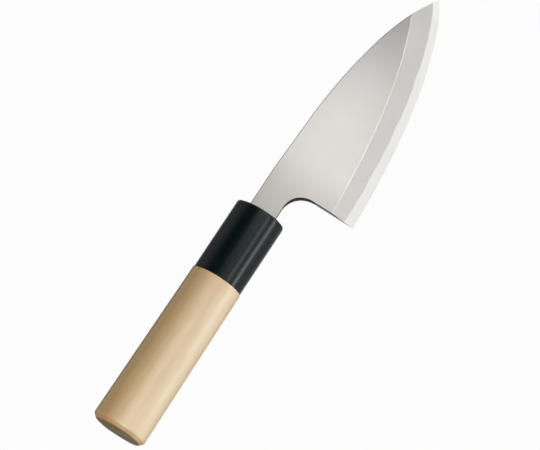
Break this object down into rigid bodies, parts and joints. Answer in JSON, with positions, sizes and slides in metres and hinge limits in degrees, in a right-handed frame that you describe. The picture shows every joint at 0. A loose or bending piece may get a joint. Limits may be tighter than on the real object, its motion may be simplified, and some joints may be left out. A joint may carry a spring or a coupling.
{
  "type": "deba knife",
  "caption": "Heavy single-bevel kitchen knife with a laminated blade, a black ferrule and a pale wooden handle.",
  "frame": {"origin": "middle of the knife's outline seen from above, at the level of the lowest line of the handle", "axes": "+X along the handle towards the tip, +Y from the cutting edge towards the spine, +Z out of the bevelled face, so the flat back of the blade looks down"},
  "size_m": [0.234, 0.048, 0.0206],
  "materials": {
    "soft_steel": "satin, ground lengthwise",
    "hard_steel": "bright, finely ground",
    "black_plastic": "satin moulded",
    "magnolia_wood": "bare sanded wood",
    "set_resin": "dull, hidden inside"
  },
  "bodies": {
    "root": {"blade_cladding": "soft_steel", "blade_edge_steel": "hard_steel", "ferrule": "black_plastic", "handle_grip": "magnolia_wood", "tang_resin": "set_resin"}
  },
  "joints": []
}
